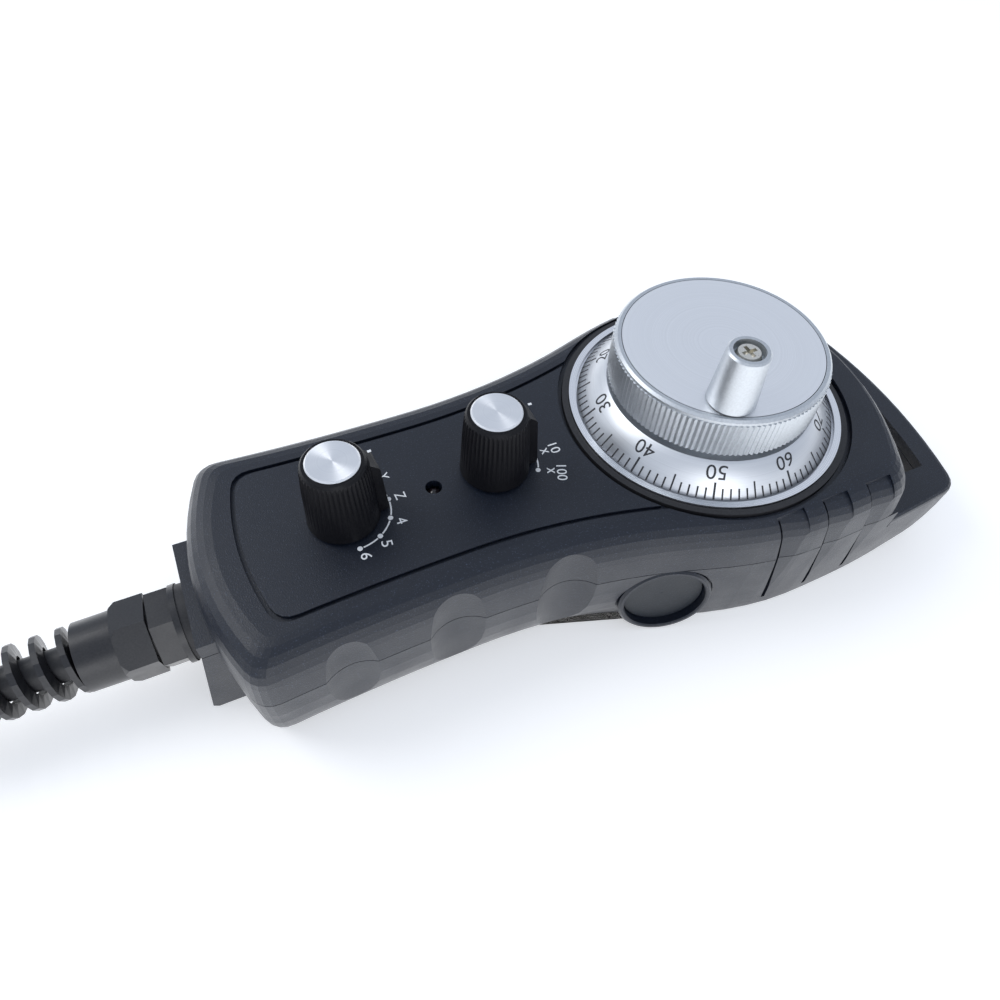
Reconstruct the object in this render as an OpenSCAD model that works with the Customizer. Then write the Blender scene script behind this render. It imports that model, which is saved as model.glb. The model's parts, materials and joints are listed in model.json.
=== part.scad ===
// Hand-held manual pulse generator for a machine tool, with its cable.
// The origin lies on the flat back, under the axis of the handwheel.
// +X points to the hanger end, -X to the cable end, and +Z out of the control panel.

/* [Housing] */
// Height of the control panel above the flat back
body_h = 33; // [30:0.5:38]
// Height of the parting plane between the two shells
part_h = 21; // [19:0.5:23]
// Distance from the wheel axis to the cable end of the shells
cable_end = 113.5; // [110:0.5:125]
// Distance from the wheel axis to the hanger end of the rear shell
hanger_end = 57.8; // [56:0.2:66]
// Distance from the wheel axis to the foot of the front shell's end wall
cover_end = 42.4; // [41:0.2:44]
// Half width of the shells at the cable end
cable_half_w = 27.4; // [26:0.2:30]
// Half width of the shells at the waist
waist_half_w = 25.2; // [24:0.2:27]
// Half width of the shells beside the handwheel
head_half_w = 37.5; // [36.5:0.5:42]
// Half width of the shells at the hanger end
tip_half_w = 34; // [33:0.2:37]
// Thickness of the panel and of the back
skin = 2.6; // [2.2:0.1:3.2]
// Thickness of the side walls beside the handwheel
side_wall = 2.8; // [2.4:0.1:3.2]
// Extra thickness of the side walls behind the finger scallops
grip_wall = 3.2; // [2.8:0.1:4]
// Width of the rounding between the panel and the sides
edge_round = 6; // [4:0.5:7]
// Gap of the visible parting line
seam = 0.2; // [0.1:0.05:0.3]
// Depth of the deepest finger scallop
scallop_depth = 2.4; // [1.8:0.1:2.6]
// Width of the decorative grooves
groove_w = 0.9; // [0.6:0.1:1.2]

/* [Hanger] */
// Height of the deck round the hanging slot
deck_h = 17.7; // [17:0.1:19]
// Thickness of the front shell's part of the deck
deck_t = 2.8; // [2.4:0.1:3.2]
// Width of the bar beyond the hanging slot
bar_w = 5.8; // [5:0.2:7]
// Half length of the hanging slot
slot_half = 27; // [22:0.5:28]

/* [Handwheel] */
// Outer diameter of the bezel ring
bezel_d = 60; // [58:0.5:61]
// Height of the bezel ring above the panel
bezel_proud = 0.3; // [0.2:0.1:0.8]
// Depth of the bezel ring's seat below the panel
seat_depth = 2.5; // [2.3:0.1:3]
// Width of the bezel ring
ring_w = 1.4; // [1:0.1:2.4]
// Diameter of the knurled wheel
wheel_d = 45; // [42:0.5:47]
// Height of the wheel's top above the panel
wheel_h = 16.6; // [15:0.2:19]
// Height of the knurled band
knurl_h = 8.2; // [7:0.2:9]
// Number of ribs round the wheel
knurl_count = 126; // [100:2:150]
// Diameter of the encoder shaft
shaft_d = 6; // [5:0.5:7]

/* [Crank handle] */
// Distance from the wheel axis to the crank handle
crank_r = 16.4; // [15.4:0.1:16.6]
// Length of the crank handle
crank_h = 12.4; // [10:0.2:16]
// Diameter of the crank handle at its foot
crank_d = 9.8; // [9:0.1:10]
// Angle of the crank handle round the wheel
crank_angle = -119.2; // [-180:0.2:180]

/* [Rotary switches] */
// Distance from the wheel axis to the axis selector
axis_x = 82.7; // [81:0.1:85]
// Distance from the wheel axis to the multiplier selector
multiplier_x = 50.9; // [50:0.1:52]
// Height of the knobs with their caps
knob_h = 16.6; // [15:0.2:19]
// Diameter of the knobs at their foot
knob_foot_d = 14.2; // [13.6:0.2:15]
// Diameter of the knobs at their top
knob_top_d = 11.8; // [11:0.2:12.4]
// Diameter of the silver caps
cap_d = 10; // [9:0.2:10.2]
// Diameter of the switch bodies
switch_d = 18; // [16:0.5:20]
// Distance from the wheel axis to the status lamp
lamp_x = 64.2; // [63:0.1:66]
// Diameter of the status lamp
lamp_d = 3; // [2.8:0.1:3.2]

/* [Enable buttons] */
// Distance from the wheel axis back to the buttons
button_x = 24; // [23:0.2:25]
// Diameter of the opening in the button's ring
button_d = 17.8; // [16.8:0.2:18]
// Width of the button's ring
button_rim = 1.3; // [1:0.1:1.4]
// Travel of the button
button_travel = 2; // [1.5:0.1:2.4]

/* [Cable and gland] */
// Diameter of the cable
cable_d = 7; // [6:0.2:7.2]
// Height of the gland's axis above the back
gland_h = 15.6; // [14.6:0.2:16.4]
// Width across the flats of the gland's hexagons
gland_af = 14.4; // [14:0.2:16]
// Pitch of the spiral bend protector
spiral_pitch = 4.4; // [4.2:0.1:5.4]
// Number of turns of the spiral bend protector
spiral_turns = 6; // [4:1:8]

/* [Hidden] */
$fn = 64;
eps = 0.01;

// Plan of the shells
cable_arc = 60;
hanger_arc = 115;
cover_arc = 58;
corner_r = 3.4;
waist_x = -63;
flare_x = -18;
head_x = 9;
flare_half_w = waist_half_w + 0.585 * (head_half_w - waist_half_w);
side_knots = [
    [-cable_end, cable_half_w, -0.09],
    [waist_x, waist_half_w, 0],
    [flare_x, flare_half_w, 0.33],
    [head_x, head_half_w, 0],
    [hanger_end, tip_half_w, -0.13]
];
cover_lean = 2.6;
end_round = 2;
deck_foot = deck_h - deck_t;
step_x = cover_end - pow(head_half_w - 1.4, 2) / (2 * cover_arc);
ceiling = body_h - skin;

// Stack of the handwheel
seat_r = bezel_d / 2 + 1.6;
moat_r = seat_r + 0.9;
seat_z = body_h - seat_depth;
seat_t = 3;
moat_z = body_h - 1.2;
gasket_t = 0.5;
ring_foot = seat_z + gasket_t;
ring_top = body_h + bezel_proud;
disc_r = 17;
disc_t = 0.8;
terminal_x = 17;
thread_in = 5.4;
ring_in = bezel_d / 2 - ring_w;
dial_r = ring_in - 0.5;
hub_r = 8;
dial_t = 0.7;
dial_top = ring_top - 0.4;
dial_foot = dial_top - dial_t;
dial_gap = 0.3;
ring_floor = dial_foot - dial_gap;
hub_hole_r = hub_r + 5;
neck_r = wheel_d / 2 - 2.9;
wheel_top = body_h + wheel_h;
knurl_top = wheel_top - 1.2;
knurl_foot = knurl_top - knurl_h;
plate_r = wheel_d / 2 - 1.7;
plate_t = 1.2;
plate_z = wheel_top - plate_t;
hub_foot = ring_foot + 0.4;

// Encoder under the panel
can_r = 22.8;
can_wall = 1.6;
can_top = seat_z - seat_t;
can_foot = skin + 4.4;
bearing_r = 9.5;
bearing_t = 5;
sleeve_r = bearing_r + 2.4;
bearing_top = ring_foot - 0.5;
bearing_low = can_foot + can_wall + 6.5;
disc_z = can_foot + can_wall + 4;
encoder_screw_r = 18.6;
encoder_hole_r = 1.25;

// Crank
crank_foot = wheel_top + 0.2;
crank_top = crank_foot + crank_h;
crank_pin_d = 3.5;
crank_bore_d = crank_pin_d + 0.12;
crank_x = crank_r * cos(crank_angle);
crank_y = crank_r * sin(crank_angle);

// Selectors
knob_gap = 0.4;
knob_foot = body_h + knob_gap;
knob_top = body_h + knob_h;
bush_d = 7;
stem_d = 6;
nut_h = 2.2;
nut_d = 11;
switch_top = ceiling;
switch_t = 13;
knob_tilt = 3;

// Enable buttons
button_z = 10.6;
button_turn = 17.6;
button_lift = 5.9;
button_out = 1.7;
ring_r = button_d / 2 + button_rim;
tube_r = button_d / 2 + 0.4;
flange_t = 1.7;
cap_sink = 2;
cap_t = 1.4;
cup_wall = 0.8;
cup_floor = cap_sink + cap_t + button_travel + 0.4;
well_r = 4.6;
well_floor = cup_floor + 1.8;
plunger_r = 1.4;
plunger_end = well_floor + cup_wall + 0.3;
switch_w = 10;
switch_y = 5;
switch_top_z = plunger_end + button_travel + 0.2;
micro_t = 3.4;
lug_t = 1.2;

// Cable end
block_x = -cable_end - 1.9;
block_half = 12.3;
block_h = 24.9;
block_lift = 0.3;
block_lean = 3;
thread_r = 6;
washer_t = 2;
body_flange_t = 1.2;
body_hex_t = 4.3;
body_turn = 34;
gland_gap = 0.4;
nut_hex_t = 6.4;
nut_turn = -13;
sleeve_t = 7.1;
sleeve_nut_r = 6.9;
hex_r = gland_af / 2 / cos(30);
washer_x = block_x;
flange_x = washer_x - washer_t;
hex_x = flange_x - body_flange_t;
gap_x = hex_x - body_hex_t;
nut_x = gap_x - gland_gap;
sleeve_x = nut_x - nut_hex_t;
spiral_x = sleeve_x - sleeve_t;
spiral_len = spiral_turns * spiral_pitch;
spiral_end = spiral_x - spiral_len;
collar_t = 5;
exit_x = spiral_end - collar_t;
cable_r = cable_d / 2;
core_r = cable_r + 0.1;
inlet_x = -cable_end + 12;
cable_points = [
    [exit_x, 0, gland_h], [-180, -0.2, 15.5], [-190, -1.9, 14], [-200, -5.3, 11], [-210, -9.7, 7.5],
    [-220, -14.8, 5], [-230, -20.2, 4.4], [-240, -25.3, 4.3], [-250, -29.7, 4.3]
];
tail_points = [
    [-260, 31.4, 23.5], [-252, 30.9, 23], [-244, 30, 20.8], [-236, 28.8, 17.2], [-228, 27.4, 12.8],
    [-221, 26.4, 9.4], [-215, 26, 7.7], [-210, 26, 7.5]
];
hank_x = -274;
hank_run = 58;
hank_in = 17.5;
hank_out = 38.5;
hank_t = 25.2;
tie_t = 0.8;
tie_w = 12;
plug_x = -212;
plug_y = 26;
plug_w = 39.2;
plug_h = 15;
plug_l = 38;

// Plan helpers
function clamp01(t) = max(0, min(1, t));
function ease(t) = let (u = clamp01(t)) u * u * (3 - 2 * u);
function mix(a, b, t) = a + (b - a) * t;
function hermite(a, b, x) =
    let (h = b[0] - a[0], t = (x - a[0]) / h, u = t * t, v = u * t)
    (2 * v - 3 * u + 1) * a[1] + (v - 2 * u + t) * h * a[2]
    + (3 * u - 2 * v) * b[1] + (v - u) * h * b[2];
function knot_at(x) = x < waist_x ? 0 : x < flare_x ? 1 : x < head_x ? 2 : 3;
function half_w(x) = let (k = knot_at(x)) hermite(side_knots[k], side_knots[k + 1], x);
function grip(x) = 1 - ease((x + 45) / 32);
function inner_w(x, wall, extra) = half_w(x) - wall - extra * grip(x);
function arc_x(y, tip, r, dir) = tip - dir * y * y / (2 * r);
function corner_x(tip, r, dir, wall, extra) =
    let (a = arc_x(inner_w(tip, wall, extra), tip, r, dir))
    let (b = arc_x(inner_w(a, wall, extra), tip, r, dir))
    arc_x(inner_w(b, wall, extra), tip, r, dir);
function bezier(a, b, c, t) = (1 - t) * (1 - t) * a + 2 * t * (1 - t) * b + t * t * c;
function corner(tip, r, dir, c, wall, extra) =
    let (cx = corner_x(tip, r, dir, wall, extra), cy = inner_w(cx, wall, extra), sx = cx - dir * c)
    let (a = [arc_x(cy - c, tip, r, dir), cy - c], b = [cx, cy], d = [sx, inner_w(sx, wall, extra)])
    [for (t = [0 : 0.25 : 1]) bezier(a, b, d, t)];
function half_plan(tail, head, head_arc, c, wall, extra) =
    let (tail_corner = corner(tail, cable_arc, -1, c, wall, extra))
    let (head_corner = corner(head, head_arc, 1, c, wall, extra))
    let (x0 = tail_corner[4][0], x1 = head_corner[4][0], y0 = tail_corner[0][1], y1 = head_corner[0][1])
    concat(
        [for (i = [1 : 5]) let (y = y0 * i / 6) [arc_x(y, tail, cable_arc, -1), y]],
        tail_corner,
        [for (i = [1 : 29]) let (x = mix(x0, x1, i / 30)) [x, inner_w(x, wall, extra)]],
        [for (i = [4 : -1 : 0]) head_corner[i]],
        [for (i = [5 : -1 : 1]) let (y = y1 * i / 6) [arc_x(y, head, head_arc, 1), y]]
    );
// Closed plan, counter-clockwise from above, symmetric about the X axis
function plan(tail, head, head_arc, c, wall, extra) =
    let (half = half_plan(tail, head, head_arc, c, wall, extra), n = len(half))
    concat(
        [[tail, 0]],
        [for (p = half) [p[0], -p[1]]],
        [[head, 0]],
        [for (i = [n - 1 : -1 : 0]) half[i]]
    );
// Moves a plan inwards: the sides by a share of their width, the ends along X
function ring(points, z, grip_in, head_in, tail_in, tip_in, tip_start, tip_end) = [
    for (p = points)
        let (side_in = mix(head_in, grip_in, grip(p[0])))
        let (tail_t = clamp01((-p[0] - 85) / (cable_end - 85)))
        let (tip_t = clamp01((p[0] - tip_start) / (tip_end - tip_start)))
        [p[0] + tail_in * tail_t - tip_in * tip_t, p[1] * (1 - side_in / half_w(p[0])), z]
];

module loft(rings) {
    n = len(rings[0]);
    m = len(rings);
    points = [for (r = rings) each r];
    sides = [
        for (j = [0 : m - 2], i = [0 : n - 1])
            let (a = j * n + i, b = j * n + (i + 1) % n)
            each [[a, a + n, b + n], [a, b + n, b]]
    ];
    polyhedron(
        points = points,
        faces = concat([[for (i = [0 : n - 1]) i]], [[for (i = [n - 1 : -1 : 0]) (m - 1) * n + i]], sides),
        convexity = 6
    );
}

module both_sides() {
    children();
    mirror([0, 1, 0]) children();
}

module tube(r_out, r_in, h) {
    difference() {
        cylinder(r = r_out, h = h);
        translate([0, 0, -eps]) cylinder(r = r_in, h = h + 2 * eps);
    }
}

// Housing

cover_plan = plan(-cable_end, cover_end, cover_arc, corner_r, 0, 0);
body_plan = plan(-cable_end, hanger_end, hanger_arc, corner_r, 0, 0);
cable_wall = 3;
cavity_plan = plan(-cable_end + cable_wall, cover_end - 7, cover_arc, corner_r, side_wall, grip_wall);
round_h = edge_round + 0.5;
draft = 0.4;

module cover_outside() {
    foot = ring(cover_plan, part_h, 0, 0, 0, 0, 10, cover_end);
    sides = [
        for (i = [0 : 6])
            let (a = 15 * i, z = body_h - round_h + round_h * sin(a))
            let (inset = draft + edge_round * (1 - cos(a)))
            let (lean = cover_lean * (z - part_h) / (body_h - part_h) + end_round * (1 - cos(a)))
            ring(cover_plan, z, inset, inset, inset, lean, 10, cover_end)
    ];
    cap = [for (p = sides[6]) [p[0], p[1], body_h + 1]];
    intersection() {
        loft(concat([foot], sides, [cap]));
        translate([-150, -60, 0]) cube([250, 120, body_h]);
    }
}

module deck_outside() {
    edge = 1.2;
    rings = [
        for (i = [0 : 3])
            let (a = 30 * i)
            ring(body_plan, deck_h - edge + edge * sin(a), edge * (1 - cos(a)), edge * (1 - cos(a)),
                 0, edge * (1 - cos(a)), 30, hanger_end)
    ];
    intersection() {
        loft(concat([ring(body_plan, deck_foot, 0, 0, 0, 0, 30, hanger_end)], rings));
        translate([step_x, -60, 0]) cube([60, 120, body_h]);
    }
}

module cover_neck() {
    intersection() {
        translate([0, 0, deck_foot]) linear_extrude(part_h - deck_foot + 1) polygon(cover_plan);
        translate([step_x, -60, 0]) cube([60, 120, body_h]);
    }
}

slot_tip = hanger_end - bar_w;
slot_root = cover_end + 0.8;
module hanging_slot() {
    outer = [for (i = [-6 : 6]) let (y = slot_half * i / 6) [arc_x(y, slot_tip, hanger_arc, 1), y]];
    inner = [for (i = [6 : -1 : -6]) let (y = slot_half * i / 6) [arc_x(y, slot_root, cover_arc, 1), y]];
    translate([0, 0, -1]) linear_extrude(body_h) polygon(concat(outer, inner));
}

scallop_r = 8.8;
scallop_lean = 1.8;
scallop_places = [[-90.2, 0.8], [-69.1, 0.25], [-46.7, 0]];
module scallops() {
    both_sides()
        for (p = scallop_places)
            translate([p[0], -half_w(p[0]) - scallop_r + scallop_depth - p[1], part_h])
                rotate([scallop_lean, 0, 0]) translate([0, 0, -part_h - 4]) cylinder(r = scallop_r, h = 60);
}

rib_xs = [-4, 7, 18.4];
rib_lean = 8.4;
rib_depth = 1.2;
rib_foot = 3.2;
shingle_depth = 0.7;
shingle_l = 5.6;
// The inside of the right wall from x on, with its face turned by angle about the vertical
module wall_core(x, depth, angle) {
    core = concat(
        [[0, -1], [0, part_h]],
        [for (a = [0 : 15 : 90])
            [draft + edge_round * (1 - cos(a)), body_h - depth + round_h * (sin(a) - 1)]],
        [[30, body_h - depth], [30, -1]]
    );
    translate([x, depth - half_w(x), 0]) rotate([0, 0, -angle]) translate([-6, 0, 0])
        rotate([90, 0, 90]) linear_extrude(24) polygon(core);
}

module leaning_slab(x, length) {
    translate([x, -head_half_w - 2, body_h]) rotate([0, -rib_lean, 0])
        translate([0, 0, rib_foot - body_h]) cube([length, edge_round + 0.6, body_h]);
}

module rib_grooves() {
    both_sides()
        for (x = rib_xs) {
            rise = half_w(x + shingle_l) - half_w(x);
            difference() {
                leaning_slab(x, groove_w);
                wall_core(x, rib_depth, atan(rise / shingle_l));
            }
            difference() {
                leaning_slab(x + groove_w - eps, shingle_l);
                wall_core(x + groove_w, shingle_depth, atan((rise + shingle_depth) / shingle_l));
            }
        }
}

panel_in = 7.9;
groove_depth = 0.8;
module panel_groove() {
    translate([0, 0, body_h - groove_depth]) difference() {
        linear_extrude(2) polygon(plan(-cable_end + 10.3, 0, cover_arc, corner_r, panel_in, 0));
        translate([0, 0, -1]) linear_extrude(4)
            polygon(plan(-cable_end + 10.3 + groove_w, 2, cover_arc, corner_r, panel_in + groove_w, 0));
        translate([0, 0, -1]) cylinder(r = moat_r, h = 4);
        translate([-12, -40, -1]) cube([80, 80, 4]);
    }
}

screw_places = [[-102, 15.5], [-37, 16.5], [27.5, 25.5]];
boss_r = 3.8;
screw_r = 1.4;
screw_hole_r = 1.7;
head_r = 2.8;
module screw_bosses(z0, z1) {
    both_sides()
        for (p = screw_places)
            translate([p[0], p[1], z0]) cylinder(r = boss_r, h = z1 - z0);
}

module cable_block(z0, z1) {
    translate([block_x, -block_half, z0]) cube([8, 2 * block_half, z1 - z0]);
}

module leaning_block() {
    translate([block_x, block_half, 0]) rotate([90, 0, 0]) linear_extrude(2 * block_half) polygon([
        [8, block_lift], [1 - block_lean, block_lift], [-block_lean, block_lift + 1], [0, part_h], [8, part_h]
    ]);
}

// Flat seat of the gland's washer in the leaning face of the block
module washer_seat() {
    along_gland(block_x) cylinder(r = hex_r + 0.3, h = 2 * block_lean);
}

module gland_bore() {
    translate([block_x - 1, 0, gland_h]) rotate([0, 90, 0]) cylinder(r = thread_r + 0.1, h = 12);
}

module nut_recess() {
    translate([-cable_end + cable_wall, 0, gland_h]) rotate([0, 90, 0]) cylinder(r = hex_r + 0.4, h = 6);
}

module button_place(side) {
    mirror([0, side > 0 ? 1 : 0, 0])
        translate([-button_x, -half_w(-button_x) - button_out + 0.5, button_z])
            rotate([0, 0, -button_turn]) rotate([90 - button_lift, 0, 0]) children();
}

module front_shell() {
    color([0.13, 0.15, 0.19]) difference() {
        union() {
            difference() {
                union() {
                    cover_outside();
                    cover_neck();
                    deck_outside();
                    cable_block(part_h, block_h);
                }
                translate([0, 0, deck_foot - 1]) linear_extrude(ceiling - deck_foot + 1)
                    polygon(cavity_plan);
            }
            intersection() {
                translate([0, 0, deck_foot]) linear_extrude(body_h - 1 - deck_foot) polygon(cavity_plan);
                translate([0, 0, can_top]) cylinder(r = moat_r + 1.5, h = seat_z - can_top);
            }
            screw_bosses(part_h, ceiling + 1);
        }
        translate([0, 0, seat_z]) cylinder(r = seat_r, h = 9);
        translate([0, 0, moat_z]) cylinder(r = moat_r, h = 9);
        translate([0, 0, can_top - 1]) cylinder(r = sleeve_r + 0.3, h = 9);
        for (a = [30, 150, 270])
            rotate([0, 0, a]) translate([encoder_screw_r, 0, can_top - 1]) {
                cylinder(r = encoder_hole_r + 0.15, h = 9);
                translate([0, 0, seat_t - 0.6]) cylinder(r = head_r, h = 9);
            }
        for (x = [axis_x, multiplier_x])
            translate([-x, 0, ceiling - 1]) cylinder(r = bush_d / 2 + 0.1, h = 9);
        translate([-lamp_x, 0, ceiling - 1]) cylinder(r = lamp_d / 2 + 0.2, h = 9);
        both_sides() for (p = screw_places)
            translate([p[0], p[1], part_h - 1]) cylinder(r = screw_r, h = ceiling - part_h);
        hanging_slot();
        scallops();
        rib_grooves();
        panel_groove();
        gland_bore();
        nut_recess();
    }
}

module rear_outside() {
    levels = [0, 0.03, 0.1, 0.2, 0.34, 0.52, 0.75, 1];
    rings = [
        for (t = levels)
            let (side = 1 - sqrt(1 - pow(1 - t, 2)))
            ring(body_plan, part_h * t, 6.6 * side, 0.9 * side, 0.4 * side,
                 11 * (1 - sqrt(1 - pow(clamp01(1 - t * part_h / deck_foot), 2))), 26, hanger_end)
    ];
    loft(rings);
}

module rear_shell() {
    color([0.12, 0.14, 0.18]) difference() {
        union() {
            difference() {
                union() {
                    rear_outside();
                    leaning_block();
                }
                translate([step_x - seam, -60, deck_foot - seam]) cube([60, 120, 20]);
                translate([-150, -60, part_h - seam]) cube([250, 120, 5]);
                translate([0, 0, skin]) linear_extrude(body_h) polygon(cavity_plan);
            }
            screw_bosses(skin - 1, part_h);
        }
        both_sides() for (p = screw_places)
            translate([p[0], p[1], 0]) {
                translate([0, 0, -1]) cylinder(r = screw_hole_r, h = body_h);
                translate([0, 0, -1]) cylinder(r = head_r + 0.3, h = 3.4);
            }
        hanging_slot();
        scallops();
        rib_grooves();
        gland_bore();
        washer_seat();
        nut_recess();
        for (side = [-1, 1])
            button_place(side) {
                translate([0, 0, -12]) cylinder(r = tube_r + 0.1, h = 18);
                translate([0, 0, -flange_t]) cylinder(r = ring_r + 0.4, h = 9);
            }
    }
}

module cross_recess(size, depth) {
    for (a = [0, 90])
        rotate([0, 0, a]) translate([-size / 2, -size / 8, -depth]) cube([size, size / 4, depth + 1]);
}

module housing_screws() {
    color([0.75, 0.75, 0.73]) both_sides() for (p = screw_places)
        translate([p[0], p[1], 2.4]) {
            cylinder(r = screw_r, h = ceiling - 6);
            mirror([0, 0, 1]) difference() {
                cylinder(r = head_r, h = 1.7);
                translate([0, 0, 1.7]) cross_recess(3.2, 1.1);
            }
        }
}

// Handwheel

module bezel_gasket() {
    color([0.07, 0.07, 0.08]) {
        translate([0, 0, seat_z]) tube(seat_r - 0.1, hub_hole_r, gasket_t);
        translate([0, 0, ring_foot]) tube(seat_r - 0.1, bezel_d / 2 + 0.1, body_h - 0.2 - ring_foot);
    }
}

module bezel_ring() {
    color([0.8, 0.81, 0.84]) translate([0, 0, ring_foot]) difference() {
        cylinder(r = bezel_d / 2, h = ring_top - ring_foot, $fn = 128);
        translate([0, 0, ring_floor - ring_foot]) cylinder(r = ring_in, h = 9, $fn = 128);
        translate([0, 0, -1]) cylinder(r = hub_hole_r, h = 9);
    }
}

module graduated_dial() {
    color([0.86, 0.87, 0.89]) translate([0, 0, dial_foot]) tube(dial_r, hub_r, dial_t, $fn = 128);
}

module knurled_band(h) {
    depth = 0.35;
    n = 2 * knurl_count;
    linear_extrude(h) polygon([
        for (i = [0 : n - 1])
            let (r = wheel_d / 2 - (i % 2) * depth)
            [r * cos(180 * i / knurl_count), r * sin(180 * i / knurl_count)]
    ]);
}

module handwheel() {
    rim_r = wheel_d / 2 - 0.3;
    color([0.76, 0.78, 0.8]) difference() {
        union() {
            translate([0, 0, knurl_foot]) knurled_band(knurl_h);
            rotate_extrude($fn = 128) polygon([
                [0, dial_top], [neck_r, dial_top], [neck_r, knurl_foot + 0.5],
                [rim_r - 0.2, knurl_foot + 0.5],
                [rim_r - 0.2, knurl_top - 0.3], [rim_r, knurl_top], [rim_r, wheel_top - 0.5],
                [rim_r - 0.5, wheel_top], [plate_r + 0.15, wheel_top], [plate_r + 0.15, plate_z], [0, plate_z]
            ]);
            translate([0, 0, hub_foot]) cylinder(r = hub_r, h = dial_top - hub_foot + 1);
        }
        translate([0, 0, hub_foot - 1]) cylinder(r = shaft_d / 2, h = plate_z - hub_foot - 1);
        translate([crank_x, crank_y, plate_z - 6]) cylinder(r = 1.5, h = 9);
    }
}

module wheel_top_plate() {
    color([0.82, 0.84, 0.88]) translate([0, 0, plate_z]) difference() {
        cylinder(r = plate_r, h = plate_t, $fn = 128);
        translate([crank_x, crank_y, -1]) cylinder(r = crank_pin_d / 2, h = plate_t + 2);
    }
}

module crank_handle() {
    foot_r = crank_d / 2;
    head = foot_r - 0.8;
    color([0.78, 0.8, 0.81]) translate([crank_x, crank_y, crank_foot]) rotate_extrude($fn = 96) polygon([
        [crank_bore_d / 2, 0], [foot_r - 0.3, 0], [foot_r, 0.3], [head, crank_h - 0.35],
        [head - 0.35, crank_h], [3.05, crank_h], [3.05, crank_h - 2], [crank_bore_d / 2, crank_h - 2]
    ]);
}

module crank_screw() {
    color([0.78, 0.76, 0.68]) translate([crank_x, crank_y, 0]) {
        translate([0, 0, plate_z]) cylinder(r = crank_pin_d / 2, h = crank_top - 1.8 - plate_z);
        translate([0, 0, plate_z - 5.5]) cylinder(r = 1.5, h = 6);
        difference() {
            translate([0, 0, crank_top - 1.85]) cylinder(r1 = 2.7, r2 = 2.1, h = 1.5);
            translate([0, 0, crank_top - 0.35]) cross_recess(3, 1);
        }
    }
}

// Encoder

module encoder_body() {
    color([0.16, 0.16, 0.17]) difference() {
        union() {
            translate([0, 0, can_foot]) cylinder(r = can_r, h = can_top - can_foot);
            translate([0, 0, can_top - eps]) cylinder(r = sleeve_r, h = ring_foot - can_top + eps);
        }
        translate([0, 0, can_foot - 1]) difference() {
            cylinder(r = can_r - can_wall, h = can_top - 2 * can_wall - can_foot + 1);
            translate([0, 0, bearing_low - can_foot]) cylinder(r = sleeve_r, h = 40);
        }
        translate([0, 0, bearing_low]) cylinder(r = bearing_r, h = 40);
        translate([0, 0, bearing_low - 2]) cylinder(r = bearing_r - 2, h = 40);
        for (a = [30, 150, 270])
            rotate([0, 0, a]) translate([encoder_screw_r, 0, can_top - 7])
                cylinder(r = encoder_hole_r, h = 9);
    }
}

module encoder_cover() {
    color([0.1, 0.1, 0.11]) translate([0, 0, can_foot])
        cylinder(r = can_r - can_wall - 0.05, h = can_wall);
}

module encoder_shaft() {
    color([0.7, 0.71, 0.73]) translate([0, 0, disc_z - 1.5])
        cylinder(r = shaft_d / 2, h = plate_z - 2 - disc_z + 1.5);
}

module encoder_bearings() {
    color([0.62, 0.63, 0.66])
        for (z = [bearing_low, bearing_top - bearing_t])
            translate([0, 0, z]) difference() {
                tube(bearing_r, shaft_d / 2 + 0.03, bearing_t);
                translate([0, 0, -eps]) tube(bearing_r - 2, shaft_d / 2 + 2, 0.7);
                translate([0, 0, bearing_t - 0.7 + eps]) tube(bearing_r - 2, shaft_d / 2 + 2, 0.7);
            }
}

module encoder_disc() {
    slots = 50;
    color([0.55, 0.57, 0.6]) translate([0, 0, disc_z]) difference() {
        tube(disc_r, shaft_d / 2, disc_t);
        for (i = [0 : slots - 1])
            rotate([0, 0, 360 * i / slots]) translate([disc_r - 3.4, -0.5, -1]) cube([2.4, 1, 3]);
    }
}

module encoder_board() {
    color([0.09, 0.3, 0.18]) translate([0, 0, can_foot + can_wall]) difference() {
        cylinder(r = can_r - can_wall - 0.05, h = 1.6);
        translate([0, 0, -1]) cylinder(r = 2, h = 4);
    }
    color([0.12, 0.12, 0.13]) translate([disc_r - 4.4, -3, can_foot + can_wall + 1.6]) difference() {
        cube([8, 6, 5]);
        translate([-1, -1, disc_z - can_foot - can_wall - 2.1]) cube([6, 8, 1.8]);
    }
}

module encoder_terminals() {
    color([0.2, 0.45, 0.28])
        for (i = [-2 : 1])
            translate([-terminal_x, i * 4 + 0.1, skin + 0.6]) difference() {
                cube([6, 3.8, can_foot - skin - 0.6]);
                translate([3, 1.9, -1]) cylinder(r = 1.1, h = 2.2);
            }
}

module encoder_screws() {
    color([0.72, 0.72, 0.7])
        for (a = [30, 150, 270])
            rotate([0, 0, a]) translate([encoder_screw_r, 0, 0]) {
                translate([0, 0, can_top - 6]) cylinder(r = encoder_hole_r, h = 6 + seat_t - 1.6);
                translate([0, 0, seat_z - 1.6]) difference() {
                    cylinder(r = head_r - 0.2, h = 1.5);
                    translate([0, 0, 1.5]) cross_recess(2.6, 0.8);
                }
            }
}

// Selectors

module switch_body(x) {
    color([0.18, 0.17, 0.16]) translate([-x, 0, 0]) difference() {
        union() {
            translate([0, 0, switch_top - switch_t]) cylinder(r = switch_d / 2, h = switch_t);
            translate([0, 0, switch_top - eps]) cylinder(r = bush_d / 2, h = knob_foot + nut_h - switch_top);
        }
        translate([0, 0, switch_top - switch_t + 3]) cylinder(r = stem_d / 2 + 0.06, h = 40);
    }
    color([0.8, 0.72, 0.4]) translate([-x, 0, switch_top - switch_t - 3])
        for (a = [15 : 30 : 345])
            rotate([0, 0, a]) translate([switch_d / 2 - 2, -0.6, 0]) cube([0.8, 1.2, 3]);
}

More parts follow.
